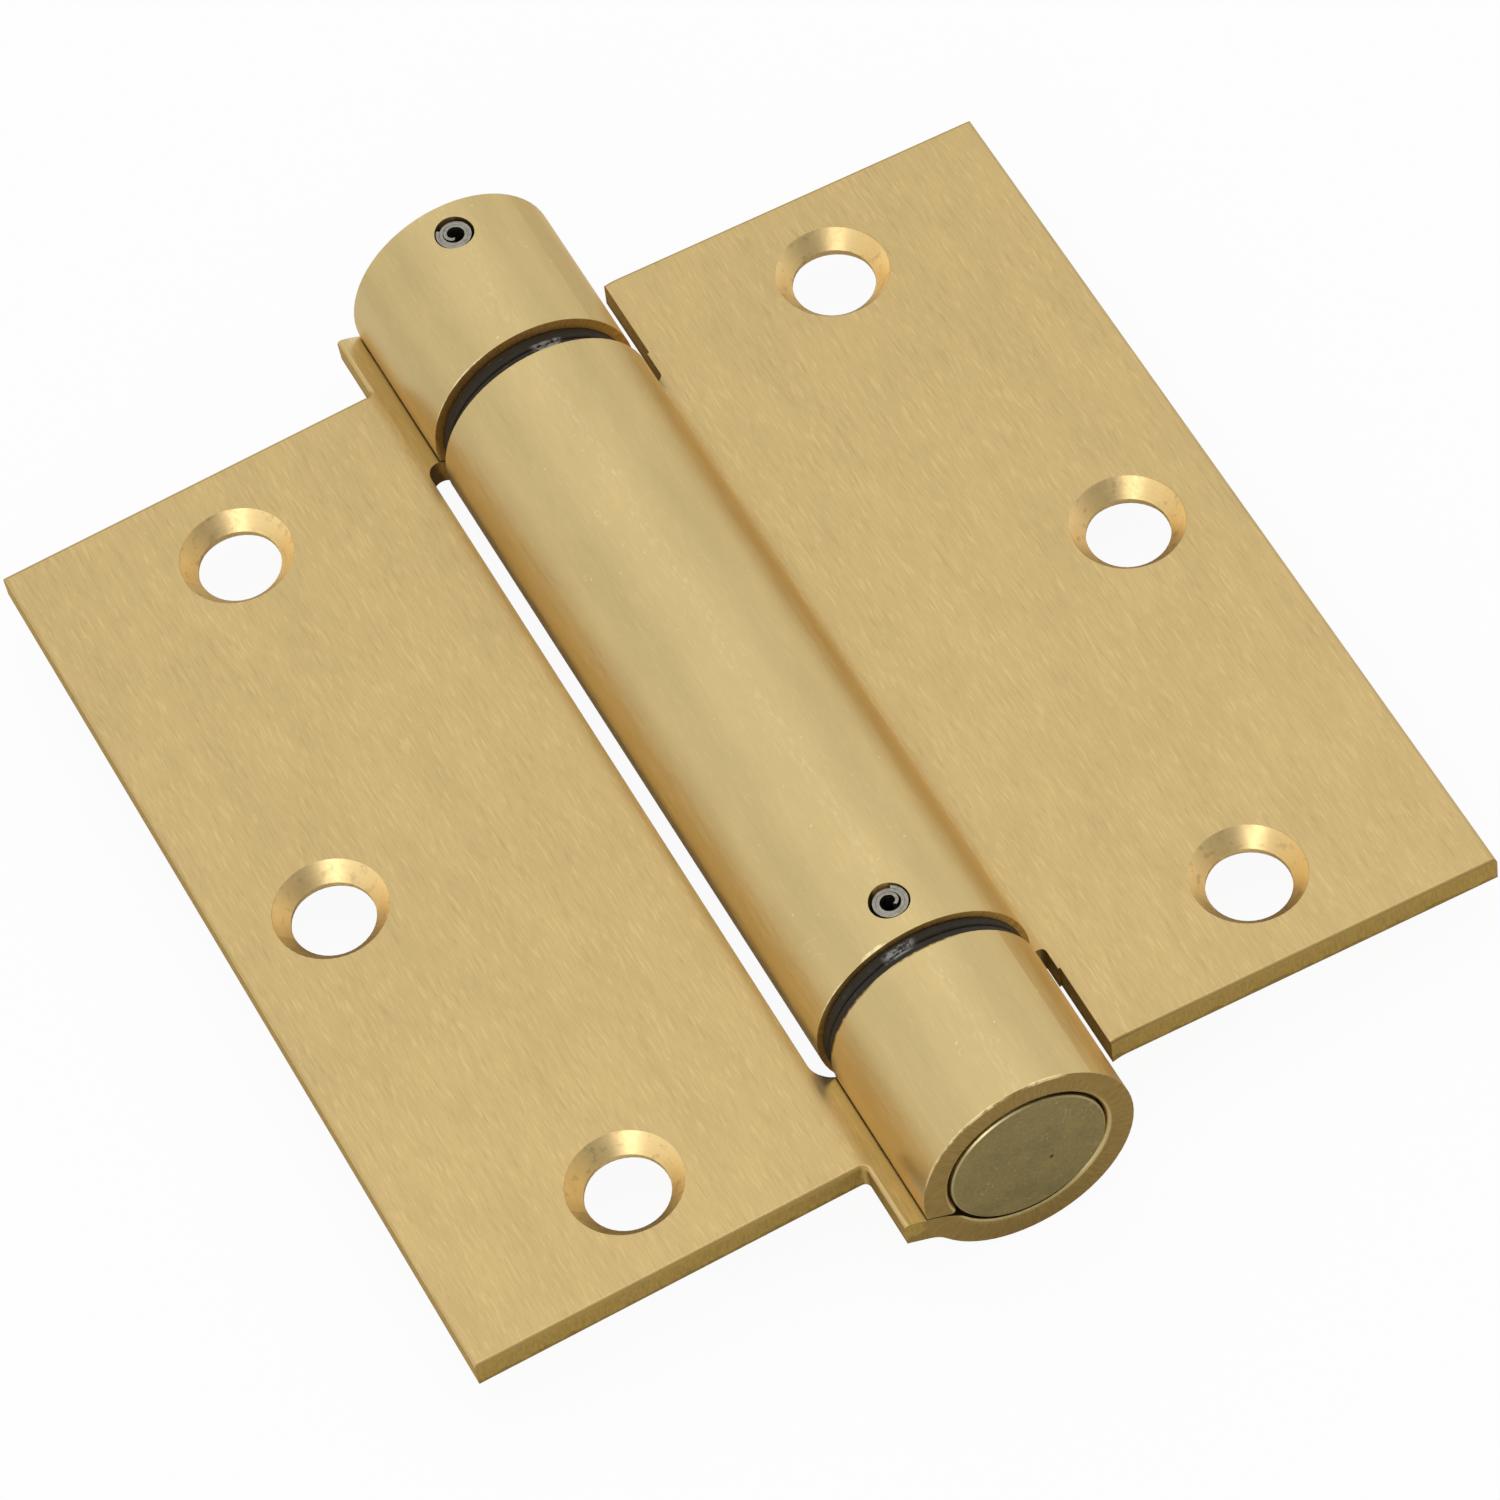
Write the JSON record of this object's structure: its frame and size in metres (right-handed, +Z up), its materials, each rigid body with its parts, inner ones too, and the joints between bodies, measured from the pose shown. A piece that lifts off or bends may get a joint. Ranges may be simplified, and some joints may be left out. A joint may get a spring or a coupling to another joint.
{
  "type": "spring hinge",
  "caption": "Spring butt hinge with square-cornered leaves, countersunk screw holes, rolled knuckles and a torsion spring held by pinned plugs inside the barrel.",
  "frame": {"origin": "on the barrel axis at the middle of its length", "axes": "+Y along the barrel towards its upper end, +X towards the right leaf, +Z up from the countersunk faces"},
  "size_m": [0.0906, 0.102, 0.0188],
  "materials": {
    "satin_brass": "satin, brushed along the barrel",
    "plug_brass": "dull turned brass",
    "pin_steel": "bare spring steel",
    "spring_steel": "oil-tempered wire",
    "black_nylon": "satin nylon"
  },
  "bodies": {
    "left_side": {"left_leaf": "satin_brass", "upper_plug": "plug_brass", "upper_pin": "pin_steel", "upper_washer_outer": "black_nylon", "lower_washer_outer": "black_nylon", "torsion_spring": "spring_steel"},
    "right_side": {"right_leaf": "satin_brass", "lower_plug": "plug_brass", "lower_pin": "pin_steel", "upper_washer_inner": "black_nylon", "lower_washer_inner": "black_nylon"}
  },
  "joints": [
    {"name": "leaf_hinge", "type": "hinge", "parent": "left_side", "child": "right_side", "pos_m": [0, 0, 0], "axis": [0, -1, 0], "range_deg": [0, 183.8], "deforming": ["torsion_spring"]}
  ]
}
